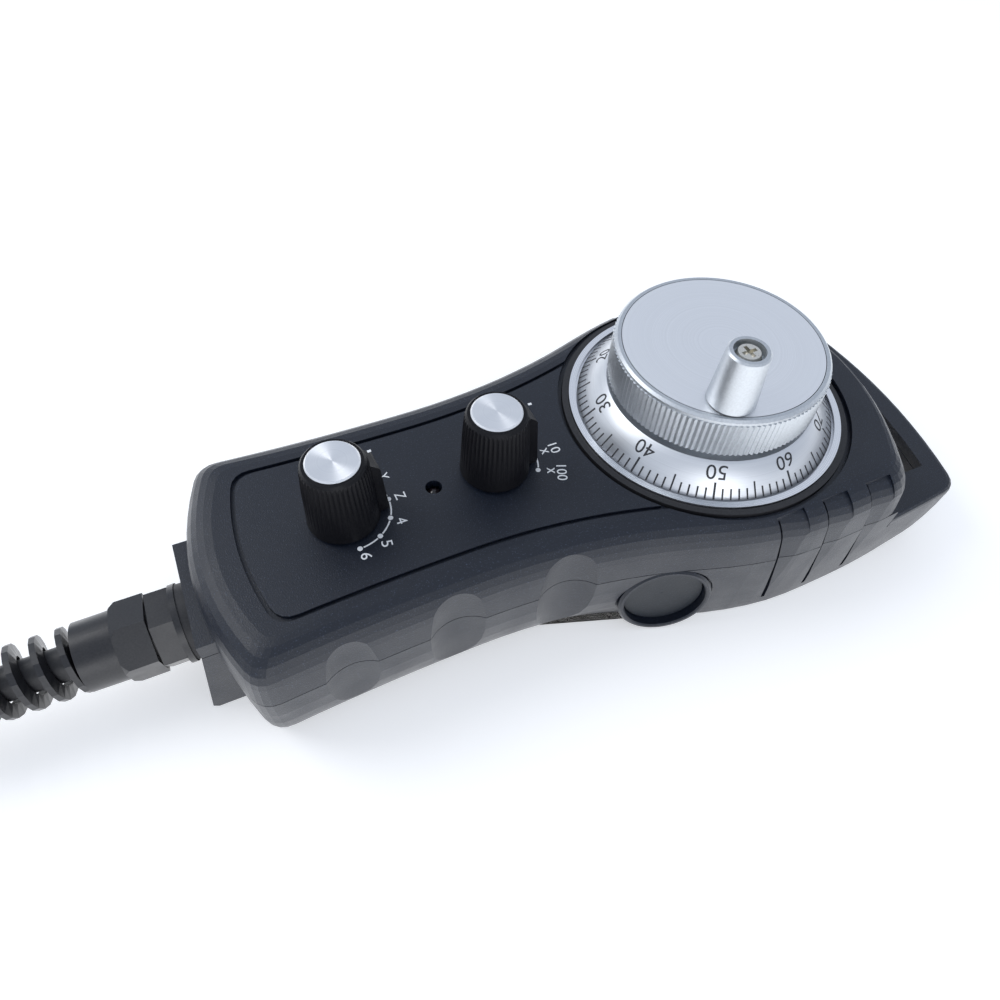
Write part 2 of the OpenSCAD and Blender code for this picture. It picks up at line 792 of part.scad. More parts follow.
module switch_shaft(x) {
    color([0.75, 0.76, 0.78]) translate([-x, 0, switch_top - switch_t + 3.2])
        cylinder(r = stem_d / 2, h = knob_top - 3 - switch_top + switch_t - 3.2);
}

module switch_nut(x) {
    color([0.78, 0.78, 0.76]) translate([-x, 0, body_h]) difference() {
        cylinder(r = nut_d / 2, h = nut_h, $fn = 6);
        translate([0, 0, -1]) cylinder(r = bush_d / 2, h = 9);
    }
}

module knob(x, angle) {
    foot_r = knob_foot_d / 2;
    top_r = knob_top_d / 2;
    h = knob_top - knob_foot - 0.5;
    flutes = 40;
    color([0.05, 0.05, 0.06]) translate([-x, 0, knob_foot]) difference() {
        union() {
            rotate_extrude($fn = 80) polygon([
                [0, 0], [foot_r - 0.4, 0], [foot_r, 0.4], [foot_r - 0.1, 1.6], [top_r + 0.5, h - 1.8],
                [top_r + 0.1, h - 0.5], [top_r - 0.3, h], [0, h]
            ]);
            rotate([0, 0, angle]) rotate([90, 0, 0]) translate([0, 0, -2.2]) linear_extrude(4.4) polygon([
                [0, 0], [foot_r + 1.4, 0], [foot_r + 1.5, 0.6], [top_r + 1.9, h - 3.6], [top_r + 1.5, h - 3],
                [top_r - 1, h - 0.8], [0, h - 0.8]
            ]);
        }
        for (i = [0 : flutes - 1]) {
            a = angle + 30 + 300 * i / (flutes - 1);
            rotate([0, 0, a]) translate([foot_r + 0.42, 0, 2]) rotate([0, -atan((foot_r - top_r) / h), 0])
                cylinder(r = 0.55, h = h + 2);
        }
        translate([0, 0, -1]) cylinder(r = nut_d / 2 + 0.3, h = nut_h + 1.4);
        translate([0, 0, -1]) cylinder(r = stem_d / 2, h = h + 1 - 2.5 + knob_gap / 4);
        translate([0, 0, h - 0.7]) cylinder(r = cap_d / 2, h = 2);
    }
}

module knob_cap(x) {
    color([0.9, 0.9, 0.92]) translate([-x, 0, knob_top - 1.2]) rotate_extrude($fn = 80) polygon([
        [0, 0], [cap_d / 2, 0], [cap_d / 2, 0.9], [cap_d / 2 - 0.3, 1.2], [0, 1.2]
    ]);
}

module axis_switch_body() { switch_body(axis_x); }
module axis_switch_shaft() { switch_shaft(axis_x); }
module axis_switch_nut() { switch_nut(axis_x); }
module axis_knob() { knob(axis_x, knob_tilt); }
module axis_knob_cap() { knob_cap(axis_x); }
module multiplier_switch_body() { switch_body(multiplier_x); }
module multiplier_switch_shaft() { switch_shaft(multiplier_x); }
module multiplier_switch_nut() { switch_nut(multiplier_x); }
module multiplier_knob() { knob(multiplier_x, 0); }
module multiplier_knob_cap() { knob_cap(multiplier_x); }

module lamp() {
    color([0.2, 0.05, 0.05, 0.9]) translate([-lamp_x, 0, ceiling - 3.2])
        rotate_extrude($fn = 40) polygon(concat(
        [[0, 0], [lamp_d / 2 + 0.4, 0], [lamp_d / 2 + 0.4, 1], [lamp_d / 2, 1]],
        [for (a = [0 : 15 : 90]) [lamp_d / 2 * cos(a), 3.2 + lamp_d / 2 * sin(a)]]
    ));
}

module lamp_holder() {
    color([0.08, 0.08, 0.09]) translate([-lamp_x, 0, ceiling - 4.4]) difference() {
        cylinder(r = lamp_d / 2 + 1.3, h = 4.4);
        translate([0, 0, 1.2]) cylinder(r = lamp_d / 2 + 0.4, h = 9);
        for (y = [-1.27, 1.27]) translate([0, y, -1]) cylinder(r = 0.3, h = 9);
    }
}

// Enable buttons, drawn with +Z out of the housing and the ring's face at zero

module enable_ring() {
    flange_z = -flange_t;
    cup_z = -cup_floor - cup_wall;
    well_z = -well_floor - cup_wall;
    lug_h = switch_top_z + micro_t - cup_floor - cup_wall;
    color([0.1, 0.11, 0.13]) {
        rotate_extrude($fn = 96) polygon([
            [plunger_r + 0.15, well_z], [well_r + cup_wall, well_z], [well_r + cup_wall, cup_z],
            [tube_r, cup_z],
            [tube_r, flange_z], [ring_r, flange_z], [ring_r, -0.5], [ring_r - 0.5, 0],
            [button_d / 2 + 0.3, 0],
            [button_d / 2, -0.3], [button_d / 2, -cup_floor], [well_r, -cup_floor], [well_r, -well_floor],
            [plunger_r + 0.15, -well_floor]
        ]);
        for (s = [-1, 1])
            translate([s * (switch_w + lug_t) / 2 - lug_t / 2, -switch_y / 2, cup_z - lug_h])
                cube([lug_t, switch_y, lug_h + eps]);
    }
}

module enable_button() {
    dish_depth = 0.6;
    face_r = button_d / 2 - 0.08;
    color([0.12, 0.14, 0.17]) rotate_extrude($fn = 96) polygon(concat(
        [[0, -plunger_end], [plunger_r, -plunger_end], [plunger_r, -cap_sink - cap_t],
         [face_r, -cap_sink - cap_t], [face_r, -cap_sink - 0.2]],
        [for (t = [1 : -0.2 : 0]) [(face_r - 0.2) * t, -cap_sink - dish_depth * (1 - t * t)]]
    ));
}

module enable_spring() {
    turns = 3;
    wire = 0.25;
    coil = (well_r + plunger_r) / 2 + 0.3;
    low = -well_floor + wire + 0.02;
    high = -cap_sink - cap_t - wire - 0.02;
    steps = 42;
    points = [
        for (i = [0 : steps])
            let (a = 360 * turns * i / steps, z = mix(low, high, i / steps))
            [coil * cos(a), coil * sin(a), z]
    ];
    color([0.75, 0.76, 0.78]) sweep_wire(points, wire, 6);
}

module enable_switch() {
    color([0.16, 0.16, 0.2]) translate([-switch_w / 2, -switch_y / 2, -switch_top_z - micro_t])
        cube([switch_w, switch_y, micro_t]);
    color([0.85, 0.7, 0.3]) for (x = [-4, 0, 4])
        translate([x - 0.25, -0.6, -switch_top_z - micro_t - 1.2]) cube([0.5, 1.2, 1.2 + eps]);
}

module enable_ring_right() { button_place(-1) enable_ring(); }
module enable_button_right() { button_place(-1) enable_button(); }
module enable_spring_right() { button_place(-1) enable_spring(); }
module enable_switch_right() { button_place(-1) enable_switch(); }
module enable_ring_left() { button_place(1) enable_ring(); }
module enable_button_left() { button_place(1) enable_button(); }
module enable_spring_left() { button_place(1) enable_spring(); }
module enable_switch_left() { button_place(1) enable_switch(); }

// Cable gland, built along -X

module along_gland(x) {
    translate([x, 0, gland_h]) rotate([0, -90, 0]) children();
}

module gland_washer() {
    color([0.05, 0.05, 0.06]) along_gland(washer_x) tube(hex_r - 0.5, thread_r + 0.1, washer_t);
}

module gland_body() {
    color([0.09, 0.09, 0.1]) difference() {
        union() {
            along_gland(inlet_x + thread_in) cylinder(r = thread_r, h = inlet_x + thread_in - flange_x);
            along_gland(flange_x) cylinder(r = hex_r - 0.2, h = body_flange_t);
            along_gland(hex_x) rotate([0, 0, body_turn]) cylinder(r = hex_r, h = body_hex_t, $fn = 6);
            along_gland(gap_x) cylinder(r = thread_r + 0.4, h = gland_gap + 3);
        }
        along_gland(inlet_x + 8) cylinder(r = core_r, h = 40);
    }
}

module gland_seal() {
    color([0.2, 0.2, 0.22]) along_gland(nut_x - 3) tube(thread_r - 0.6, cable_r, 3);
}

module gland_nut() {
    turn_w = 2.5;
    inner = cable_r + 0.8;
    outer = sleeve_nut_r;
    section = [
        [inner, -turn_w / 2 + 0.3], [outer, -turn_w / 2 + 0.7], [outer, turn_w / 2 - 0.7],
        [inner, turn_w / 2 - 0.3]
    ];
    color([0.09, 0.09, 0.1]) {
        difference() {
            union() {
                intersection() {
                    along_gland(nut_x) rotate([0, 0, nut_turn]) cylinder(r = hex_r, h = nut_hex_t, $fn = 6);
                    along_gland(nut_x) rotate_extrude() polygon([
                        [0, 0], [hex_r + 0.2, 0], [hex_r + 0.2, nut_hex_t - 1.4],
                        [hex_r - 0.7, nut_hex_t], [0, nut_hex_t]
                    ]);
                }
                along_gland(sleeve_x + 0.5)
                    cylinder(r1 = sleeve_nut_r + 0.2, r2 = sleeve_nut_r + 0.1, h = sleeve_t + 0.5);
            }
            along_gland(nut_x + 1) cylinder(r = thread_r + 0.4, h = 4);
            along_gland(nut_x) cylinder(r = thread_r - 0.6, h = 6);
            along_gland(nut_x) cylinder(r = core_r, h = 40);
        }
        along_gland(spiral_x) rotate([0, 0, 180]) helix(section, spiral_turns, 18, -0.6, spiral_len + 0.2);
        along_gland(spiral_end + 1.2) difference() {
            cylinder(r1 = outer + 0.1, r2 = outer - 1.4, h = collar_t + 1.2);
            translate([0, 0, -1]) cylinder(r = core_r, h = 20);
        }
    }
}

// A section of radius and height pairs wound along +Z
module helix(section, turns, steps, from_z, to_z) {
    count = turns * steps;
    loft([
        for (j = [count : -1 : 0])
            let (a = 360 * j / steps, z = mix(from_z, to_z, j / count))
            [for (s = section) [s[0] * cos(a), s[0] * sin(a), z + s[1]]]
    ]);
}

module gland_locknut() {
    x = -cable_end + cable_wall;
    color([0.09, 0.09, 0.1]) along_gland(x + 4) difference() {
        cylinder(r = hex_r, h = 4, $fn = 6);
        translate([0, 0, -1]) cylinder(r = thread_r, h = 9);
    }
}

// Cable

function unit(v) = v / norm(v);
function row(path, i, r, sides) =
    let (n = len(path), a = path[max(0, i - 1)], b = path[min(n - 1, i + 1)])
    let (t = unit(b - a), side = abs(t[2]) > 0.9 ? [1, 0, 0] : [0, 0, 1])
    let (u = unit(cross(side, t)), v = cross(t, u))
    [for (k = [0 : sides - 1]) path[i] + r * (cos(360 * k / sides) * u + sin(360 * k / sides) * v)];

module sweep_wire(path, r, sides) {
    n = len(path);
    faces_side = [
        for (j = [0 : n - 2], i = [0 : sides - 1])
            let (a = j * sides + i, b = j * sides + (i + 1) % sides)
            each [[a, b + sides, b], [a, a + sides, b + sides]]
    ];
    ends = [[for (i = [0 : sides - 1]) i], [for (i = [sides - 1 : -1 : 0]) (n - 1) * sides + i]];
    polyhedron(
        points = [for (i = [0 : n - 1]) each row(path, i, r, sides)],
        faces = concat(ends, faces_side),
        convexity = 8
    );
}

module cable_inlet() {
    color([0.06, 0.06, 0.07]) along_gland(inlet_x) cylinder(r = cable_r, h = inlet_x - exit_x);
}

module cable() {
    color([0.06, 0.06, 0.07]) sweep_wire(cable_points, cable_r, 12);
}

module cable_tail() {
    color([0.06, 0.06, 0.07]) sweep_wire(tail_points, cable_r, 12);
}

module hank_outline(r) {
    for (x = [0, -hank_run]) translate([x, 0]) circle(r);
    translate([-hank_run, -r]) square([hank_run, 2 * r]);
}
module cable_coil() {
    color([0.06, 0.06, 0.07]) translate([hank_x, 0, tie_t]) linear_extrude(hank_t)
        difference() {
            hank_outline(hank_out);
            hank_outline(hank_in);
        }
}
module cable_tie() {
    half = hank_out + 0.4;
    color([0.08, 0.08, 0.09]) translate([hank_x - (hank_run + tie_w) / 2, 0, tie_t])
        difference() {
            translate([0, -half - tie_t, -tie_t]) cube([tie_w, 2 * (half + tie_t), hank_t + 2 * tie_t]);
            translate([-1, -half, 0]) cube([tie_w + 2, 2 * half, hank_t]);
        }
}

// Plug at the far end of the cable, lying on its flat side

plug_pins_d = 1;
plug_shell_l = 6;
plug_flange_t = 1;
plug_front = plug_x + plug_l;
module plug_section(w, h, slant) {
    polygon([
        [-w / 2, h / 2], [w / 2, h / 2], [w / 2 - slant, -h / 2], [-w / 2 + slant, -h / 2]
    ]);
}

module at_plug(x) {
    translate([x, plug_y, plug_h / 2]) rotate([90, 0, 90]) children();
}

module plug_hood() {
    color([0.09, 0.09, 0.1]) difference() {
        translate([plug_x, plug_y, 0]) linear_extrude(plug_h) polygon([
            [0, -6.5], [6, -6.5], [16, -plug_w / 2], [plug_l, -plug_w / 2], [plug_l, plug_w / 2],
            [16, plug_w / 2], [6, 6.5], [0, 6.5]
        ]);
        at_plug(plug_x - 1) cylinder(r = cable_r, h = 3);
        at_plug(plug_x + 9) translate([-10.5, -plug_h / 2 + 1.6, 0]) cube([21, plug_h - 3.2, plug_l]);
        for (s = [-1, 1])
            at_plug(plug_x + 10) translate([s * 16.6, 0, 0]) cylinder(r = 1.6, h = plug_l);
    }
}

module plug_shell() {
    color([0.75, 0.76, 0.77]) difference() {
        union() {
            at_plug(plug_front) translate([-plug_w / 2, -6.2, 0]) linear_extrude(plug_flange_t)
                square([plug_w, 12.4]);
            at_plug(plug_front) linear_extrude(plug_shell_l) plug_section(25, 8.4, 1.4);
            at_plug(plug_front - 6) linear_extrude(7) plug_section(20, 9, 0);
        }
        at_plug(plug_front + plug_flange_t) linear_extrude(plug_shell_l) plug_section(24.2, 7.6, 1.4);
        for (s = [-1, 1])
            at_plug(plug_front - 1) translate([s * 16.6, 0, 0]) cylinder(r = 1.6, h = 9);
    }
}

module plug_pins() {
    color([0.83, 0.68, 0.3])
        for (r = [0, 1], i = [0 : 7 - r])
            at_plug(plug_front + plug_flange_t)
                translate([(i - 3.5 + r / 2) * 2.77, 1.42 - 2.84 * r, 0])
                    cylinder(r = plug_pins_d / 2, h = plug_shell_l - 1.6);
}

module plug_screws() {
    color([0.72, 0.72, 0.7])
        for (s = [-1, 1])
            at_plug(0) translate([s * 16.6, 0, 0]) {
                translate([0, 0, plug_x + 13]) cylinder(r = 1.5, h = plug_l - 13 + plug_shell_l);
            }
}

// Outputs
front_shell();
rear_shell();
housing_screws();
bezel_gasket();
bezel_ring();
graduated_dial();
handwheel();
wheel_top_plate();
crank_handle();
crank_screw();
encoder_body();
encoder_cover();
encoder_shaft();
encoder_bearings();
encoder_disc();
encoder_board();
encoder_terminals();
encoder_screws();
axis_switch_body();
axis_switch_shaft();
axis_switch_nut();
axis_knob();
axis_knob_cap();
multiplier_switch_body();
multiplier_switch_shaft();
multiplier_switch_nut();
multiplier_knob();
multiplier_knob_cap();
lamp();
lamp_holder();
enable_ring_right();
enable_button_right();
enable_spring_right();
enable_switch_right();
enable_ring_left();
enable_button_left();
enable_spring_left();
enable_switch_left();
gland_washer();
gland_body();
gland_seal();
gland_nut();
gland_locknut();
cable_inlet();
cable();
cable_coil();
cable_tail();
cable_tie();
plug_hood();
plug_shell();
plug_pins();
plug_screws();
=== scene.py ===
"""Looks for a hand-held manual pulse generator: materials, printing, dial, cable and room.

Each CAD solid gets a material. Added pieces are the printing on the panel, the dial's cone with its
marks, the knobs' pointer lines and the cord.
"""

import json
import math

import bmesh
import bpy
import numpy as np
from mathutils import Matrix, Vector


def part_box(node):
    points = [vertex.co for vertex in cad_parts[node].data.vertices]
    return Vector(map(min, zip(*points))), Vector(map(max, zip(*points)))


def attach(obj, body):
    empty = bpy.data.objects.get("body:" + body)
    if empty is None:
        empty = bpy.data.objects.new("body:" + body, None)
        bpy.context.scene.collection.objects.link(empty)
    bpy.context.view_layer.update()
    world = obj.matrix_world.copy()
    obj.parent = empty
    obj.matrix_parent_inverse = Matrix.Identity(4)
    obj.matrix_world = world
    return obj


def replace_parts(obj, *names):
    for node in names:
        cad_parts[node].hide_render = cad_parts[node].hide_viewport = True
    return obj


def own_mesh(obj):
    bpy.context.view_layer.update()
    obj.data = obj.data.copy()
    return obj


MM = 0.001
INK = 0.03 * MM

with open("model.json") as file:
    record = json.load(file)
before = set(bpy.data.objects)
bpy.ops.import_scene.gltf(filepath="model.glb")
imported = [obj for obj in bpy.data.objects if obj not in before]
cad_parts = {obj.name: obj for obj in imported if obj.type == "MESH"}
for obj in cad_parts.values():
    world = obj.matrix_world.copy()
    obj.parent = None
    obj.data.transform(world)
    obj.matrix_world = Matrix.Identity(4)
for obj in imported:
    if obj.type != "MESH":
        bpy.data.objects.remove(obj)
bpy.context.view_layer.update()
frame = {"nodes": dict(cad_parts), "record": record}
NODES = frame["nodes"]


def centre(node):
    low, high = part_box(node)
    return (low + high) / 2


PANEL_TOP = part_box("front_shell")[1].z
DIAL_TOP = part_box("graduated_dial")[1].z
AXIS = centre("axis_knob_cap")
MULTIPLIER = centre("multiplier_knob_cap")
WHEEL = (0, 0, 0)


# Camera

CAMERA_PLACE = Vector((-93.96, -88.65, 152.38)) * MM
CAMERA_TURN = (37.052, -2.005, -24.136)
CAMERA_LENS = 27.184


def add_camera():
    data = bpy.data.cameras.new("camera")
    data.sensor_width = 36
    data.lens = CAMERA_LENS
    data.clip_start = 5 * MM
    camera = bpy.data.objects.new("camera", data)
    camera.location = CAMERA_PLACE
    camera.rotation_euler = [math.radians(a) for a in CAMERA_TURN]
    bpy.context.scene.collection.objects.link(camera)
    bpy.context.scene.camera = camera


# Materials


class Nodes:
    """A material's node tree, with short calls for the nodes that are used here."""

    def __init__(self, name, **sockets):
        self.material = bpy.data.materials.new(name)
        self.material.use_nodes = True
        self.tree = self.material.node_tree
        self.shader = self.tree.nodes["Principled BSDF"]
        for socket, value in sockets.items():
            self.shader.inputs[socket.replace("_", " ")].default_value = value
        self.coords = self.tree.nodes.new("ShaderNodeTexCoord").outputs["Object"]

    def link(self, source, target):
        self.tree.links.new(source, target)

    def noise(self, size, detail, coords=None):
        node = self.tree.nodes.new("ShaderNodeTexNoise")
        node.inputs["Scale"].default_value = 1 / size
        node.inputs["Detail"].default_value = detail
        self.link(coords or self.coords, node.inputs["Vector"])
        return node.outputs["Fac"]

    def ramp(self, value, *stops):
        node = self.tree.nodes.new("ShaderNodeValToRGB")
        ramp = node.color_ramp
        while len(ramp.elements) < len(stops):
            ramp.elements.new(0.5)
        for element, (place, colour) in zip(ramp.elements, stops):
            element.position = place
            colour = colour if isinstance(colour, tuple) else (colour, colour, colour)
            element.color = (*colour, 1)
        self.link(value, node.inputs["Fac"])
        return node.outputs["Color"]

    def math(self, operation, a, b):
        node = self.tree.nodes.new("ShaderNodeMath")
        node.operation = operation
        for socket, value in zip(node.inputs, (a, b)):
            if isinstance(value, (int, float)):
                socket.default_value = value
            else:
                self.link(value, socket)
        return node.outputs[0]

    def bump(self, height, strength, distance):
        """Adds a bump on top of those that the shader already has."""
        node = self.tree.nodes.new("ShaderNodeBump")
        node.inputs["Strength"].default_value = strength
        node.inputs["Distance"].default_value = distance
        self.link(height, node.inputs["Height"])
        last = self.shader.inputs["Normal"]
        if last.is_linked:
            self.link(last.links[0].from_socket, node.inputs["Normal"])
        self.link(node.outputs["Normal"], last)

    def colour(self, value, *stops):
        self.link(self.ramp(value, *stops), self.shader.inputs["Base Color"])

    def roughness(self, value, low, high):
        self.link(self.ramp(value, (0.3, low), (0.7, high)), self.shader.inputs["Roughness"])

    def turned(self, axis):
        """The distance from an upright axis, for lathe marks."""
        shift = self.tree.nodes.new("ShaderNodeVectorMath")
        shift.operation = "SUBTRACT"
        shift.inputs[1].default_value = axis
        self.link(self.coords, shift.inputs[0])
        flat = self.tree.nodes.new("ShaderNodeVectorMath")
        flat.operation = "MULTIPLY"
        flat.inputs[1].default_value = (1, 1, 0)
        self.link(shift.outputs[0], flat.inputs[0])
        length = self.tree.nodes.new("ShaderNodeVectorMath")
        length.operation = "LENGTH"
        self.link(flat.outputs[0], length.inputs[0])
        return length.outputs["Value"]


def moulded_plastic(name, dark, light, grain, shine):
    """Spark-eroded black plastic, with a pale speckle painted into its colour as glints off the
    grain.
    """
    m = Nodes(name, Specular_IOR_Level=0.5)
    fine = m.noise(grain, 5)
    # The light colour is painted glints: the pale speckle stands for the sparkle of the grain.
    m.colour(fine, (0.4, dark), (0.6, dark), (0.68, light))
    m.roughness(m.noise(9 * MM, 2), shine, shine + 0.1)
    m.bump(fine, 0.55, 0.12 * MM)
    m.bump(m.noise(0.22 * MM, 2), 0.25, 0.04 * MM)
    return m.material


def smooth_plastic(name, colour, shine, grain=0.35 * MM, gloss=0.5):
    """Plastic or rubber with a faint grain."""
    m = Nodes(name, Specular_IOR_Level=gloss)
    fine = m.noise(grain, 3)
    m.colour(fine, (0.3, colour), (0.7, tuple(c * 1.5 + 0.004 for c in colour)))
    m.roughness(m.noise(4 * MM, 2), shine, shine + 0.1)
    m.bump(fine, 0.12, 0.03 * MM)
    return m.material


def turned_metal(name, colour, axis, shine, grooves=0.5, spread=0.3):
    """Bright metal with concentric lathe marks, which spread its highlights along the radius."""
    m = Nodes(name, Metallic=1.0, Anisotropic=spread)
    radius = m.turned(axis)
    marks = m.noise(0.16 * MM, 2, radius)
    m.colour(marks, (0.25, tuple(c * 0.86 for c in colour)), (0.75, colour))
    m.roughness(marks, shine, shine + 0.14)
    m.bump(marks, grooves, 0.015 * MM)
    tangent = m.tree.nodes.new("ShaderNodeTangent")
    tangent.direction_type = "RADIAL"
    tangent.axis = "Z"
    m.link(tangent.outputs[0], m.shader.inputs["Tangent"])
    return m.material


def plain_metal(name, colour, shine=0.3):
    """Metal without a direction to its finish."""
    m = Nodes(name, Metallic=1.0)
    marks = m.noise(0.4 * MM, 4)
    m.colour(marks, (0.3, tuple(c * 0.85 for c in colour)), (0.7, colour))
    m.roughness(marks, shine, shine + 0.15)
    m.bump(marks, 0.1, 0.02 * MM)
    return m.material


def ink(name, colour):
    m = Nodes(name, Roughness=0.55)
    m.colour(m.noise(0.6 * MM, 2), (0.3, tuple(c * 0.9 for c in colour)), (0.7, colour))
    return m.material


def lamp_glass():
    """The unlit lamp's clear lens, which looks dark."""
    m = Nodes("lamp_lens", Roughness=0.08, IOR=1.5)
    m.colour(m.noise(1.5 * MM, 2), (0.3, (0.006, 0.005, 0.007)), (0.7, (0.02, 0.012, 0.014)))
    return m.material


# The second colour of each moulded plastic is its painted glints, the pale speckle on the grain.
SHELL = moulded_plastic(
    "shell_plastic", (0.004, 0.007, 0.015), (0.03, 0.042, 0.07), grain=0.26 * MM, shine=0.36
)
BUTTON = moulded_plastic(
    "button_plastic", (0.008, 0.012, 0.018), (0.02, 0.03, 0.045), grain=0.3 * MM, shine=0.42
)
KNOB = smooth_plastic("knob_plastic", (0.0012, 0.0012, 0.0025), 0.42, gloss=0.22)
BLACK = smooth_plastic("black_plastic", (0.011, 0.011, 0.013), 0.3)
RUBBER = smooth_plastic("black_rubber", (0.012, 0.012, 0.014), 0.5)
JACKET = smooth_plastic("cable_jacket", (0.013, 0.013, 0.015), 0.42, 0.8 * MM)
ALUMINIUM = (0.93, 0.94, 0.96)
WHEEL_TOP_METAL = turned_metal("wheel_top_metal", ALUMINIUM, WHEEL, 0.36, 0.15, 0.0)
DIAL_METAL = turned_metal("dial_metal", (0.70, 0.72, 0.75), WHEEL, 0.36)
RING_METAL = turned_metal("ring_metal", (0.88, 0.89, 0.92), WHEEL, 0.18, 0.3)
WHEEL_METAL = plain_metal("wheel_metal", (0.62, 0.65, 0.68), 0.38)
STEEL = plain_metal("steel", (0.6, 0.61, 0.63))
ZINC = plain_metal("zinc", (0.74, 0.72, 0.66), 0.25)
GOLD = plain_metal("gold_contacts", (0.83, 0.62, 0.26), 0.25)
BOARD = smooth_plastic("circuit_board", (0.02, 0.12, 0.05), 0.35)
TERMINAL = smooth_plastic("terminal_plastic", (0.04, 0.2, 0.08), 0.4)
LENS = lamp_glass()
WHITE = ink("white_ink", (0.86, 0.87, 0.88))
DARK = ink("dark_ink", (0.02, 0.02, 0.025))

BY_SLOT = {
    "shell_front": SHELL,
    "shell_rear": SHELL,
    "black_plastic": BLACK,
    "knob_plastic": KNOB,
    "black_rubber": RUBBER,
    "brushed_aluminium": WHEEL_TOP_METAL,
    "wheel_aluminium": WHEEL_METAL,
    "steel": STEEL,
    "zinc_steel": ZINC,
    "pcb": BOARD,
    "terminal_plastic": TERMINAL,
    "lamp_red": LENS,
    "gold_contacts": GOLD,
    "cable_jacket": JACKET,
}
BY_NODE = {
    "graduated_dial": DIAL_METAL,
    "bezel_ring": RING_METAL,
    "axis_knob_cap": turned_metal("axis_cap_metal", ALUMINIUM, tuple(AXIS), 0.3, spread=0.85),
    "multiplier_knob_cap": turned_metal(
        "multiplier_cap_metal", ALUMINIUM, tuple(MULTIPLIER), 0.3, spread=0.85
    ),
    "enable_button_right": BUTTON,
    "enable_button_left": BUTTON,
}


def dress_nodes():
    """Every solid gets its material, by its own name or else by the slot that its record names."""
    slots = {part["node"]: part["material_slot"] for part in frame["record"]["subparts"]}
    for name, node in NODES.items():
        material = BY_NODE.get(name) or BY_SLOT[slots[name]]
        node.data.materials.clear()
        node.data.materials.append(material)


# Pieces


def add_piece(name, mesh, material, body):
    """A visible piece of scene.py's own, which moves with a body."""
    piece = bpy.data.objects.new(name, mesh)
    bpy.context.scene.collection.objects.link(piece)
    mesh.materials.clear()
    mesh.materials.append(material)
    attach(piece, body)
    return piece


def join(meshes, name):
    """One mesh from several, which are then removed."""
    whole = bmesh.new()
    for mesh in meshes:
        whole.from_mesh(mesh)
        bpy.data.meshes.remove(mesh)
    joined = bpy.data.meshes.new(name)
    whole.to_mesh(joined)
    whole.free()
    return joined


def slab(outline, z):
    """A thin plate of printing over an outline, given counter-clockwise from above."""
    shape = bmesh.new()
    low = [shape.verts.new((x, y, z - INK)) for x, y in outline]
    high = [shape.verts.new((x, y, z + INK)) for x, y in outline]
    shape.faces.new(high)
    shape.faces.new(low[::-1])
    count = len(outline)
    for i in range(count):
        j = (i + 1) % count
        shape.faces.new((low[i], low[j], high[j], high[i]))
    mesh = bpy.data.meshes.new("slab")
    shape.to_mesh(mesh)
    shape.free()
    return mesh


def at(place, radius, degrees):
    """The point at a radius and a direction from a place."""
    angle = math.radians(degrees)
    return (place[0] + radius * math.cos(angle), place[1] + radius * math.sin(angle))


def disc(place, radius, z, sides=28):
    return slab([at(place, radius, 360 * i / sides) for i in range(sides)], z)


def arc(place, radius, width, start, end, z, steps=10):
    """A stroke round a place, from one direction to another."""
    angles = [start + (end - start) * i / steps for i in range(steps + 1)]
    outer = [at(place, radius + width / 2, a) for a in angles]
    inner = [at(place, radius - width / 2, a) for a in reversed(angles)]
    return slab(outer + inner, z)


def bar(place, inner, outer, width, degrees, z):
    """A radial stroke."""
    along = Vector(at((0, 0), 1, degrees))
    across = Vector((-along.y, along.x)) * width / 2
    origin = Vector(place[:2])
    corners = [
        origin + along * inner - across,
        origin + along * outer - across,
        origin + along * outer + across,
        origin + along * inner + across,
    ]
    return slab([tuple(c) for c in corners], z)


def letters(text, place, z, height, width, turn):
    """Raised lettering, scaled to a height and a width, centred on a place and turned about Z."""
    curve = bpy.data.curves.new("letters", "FONT")
    curve.body = text
    curve.extrude = 1.0
    curve.resolution_u = 4
    holder = bpy.data.objects.new("letters", curve)
    bpy.context.scene.collection.objects.link(holder)
    bpy.context.view_layer.update()
    graph = bpy.context.evaluated_depsgraph_get()
    mesh = bpy.data.meshes.new_from_object(holder.evaluated_get(graph))
    bpy.data.objects.remove(holder)
    bpy.data.curves.remove(curve)
    xs = [v.co.x for v in mesh.vertices]
    ys = [v.co.y for v in mesh.vertices]
    wide, tall = max(xs) - min(xs), max(ys) - min(ys)
    middle = Vector(((max(xs) + min(xs)) / 2, (max(ys) + min(ys)) / 2, 0))
    size = Vector((width / wide, height / tall, INK))
    for v in mesh.vertices:
        v.co = Vector([(v.co[i] - middle[i]) * size[i] for i in range(3)])
    turned = Matrix.Rotation(math.radians(turn), 4, "Z")
    mesh.transform(Matrix.Translation((*place, z)) @ turned)
    return mesh


# Printing on the control panel

LABEL_TURN = -90
SCALE_SHIFT = (0.35 * MM, 0.45 * MM)
SCALE_RADIUS = 8.86 * MM
DOT_RADIUS = 0.52 * MM
DOT_GAP = 4.6
ARC_WIDTH = 0.3 * MM

AXIS_DOTS = (91, 61, 31, 1, -29, -59, -89)
MULTIPLIER_DOTS = (29, -1, -30.5)

# Each label: its text, radius, direction, height, width and turn, in millimetres and degrees.
AXIS_LABELS = [
    ("OFF", 13.2, 96, 2.1, 4.4, 0),
    ("X", 12.2, 62, 2.1, 1.7, 0),
    ("Y", 12.0, 32.6, 2.1, 1.7, 0),
    ("Z", 11.64, 2.5, 2.1, 1.6, 0),
    ("4", 11.2, -28.2, 2.1, 1.4, 0),
    ("5", 10.75, -59, 2.1, 1.4, -6),
    ("6", 10.5, -84, 2.1, 1.4, -10),
]
MULTIPLIER_LABELS = [
    ("x", 11.5, 29, 1.6, 1.5, 20),
    ("1", 13.6, 29, 2.1, 0.8, 20),
    ("x", 11.42, 0.2, 1.6, 1.5, 0),
    ("10", 13.75, 0, 2.1, 2.5, 0),
    ("x", 11.58, -26.6, 1.6, 1.5, -22),
    ("100", 13.85, -28.2, 2.1, 3.9, -22),
]


